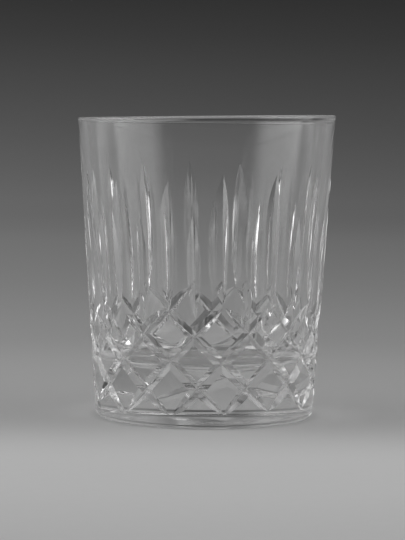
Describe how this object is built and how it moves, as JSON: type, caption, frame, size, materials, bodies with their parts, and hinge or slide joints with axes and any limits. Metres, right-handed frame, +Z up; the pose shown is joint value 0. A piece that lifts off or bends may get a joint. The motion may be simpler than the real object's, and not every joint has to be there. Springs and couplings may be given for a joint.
{
  "type": "cut glass tumbler",
  "caption": "Clear cut glass tumbler with a thick base, a band of crossing diamond cuts round the foot and upright flutes above it.",
  "frame": {"origin": "centre of the foot's underside, on the surface that the tumbler stands on", "axes": "+Z up along the axis of the glass; -Y towards a tall flute, +X to the right of it"},
  "size_m": [0.0772, 0.0772, 0.0907],
  "materials": {
    "glass": "clear, polished"
  },
  "bodies": {
    "root": {"tumbler": "glass"}
  },
  "joints": []
}
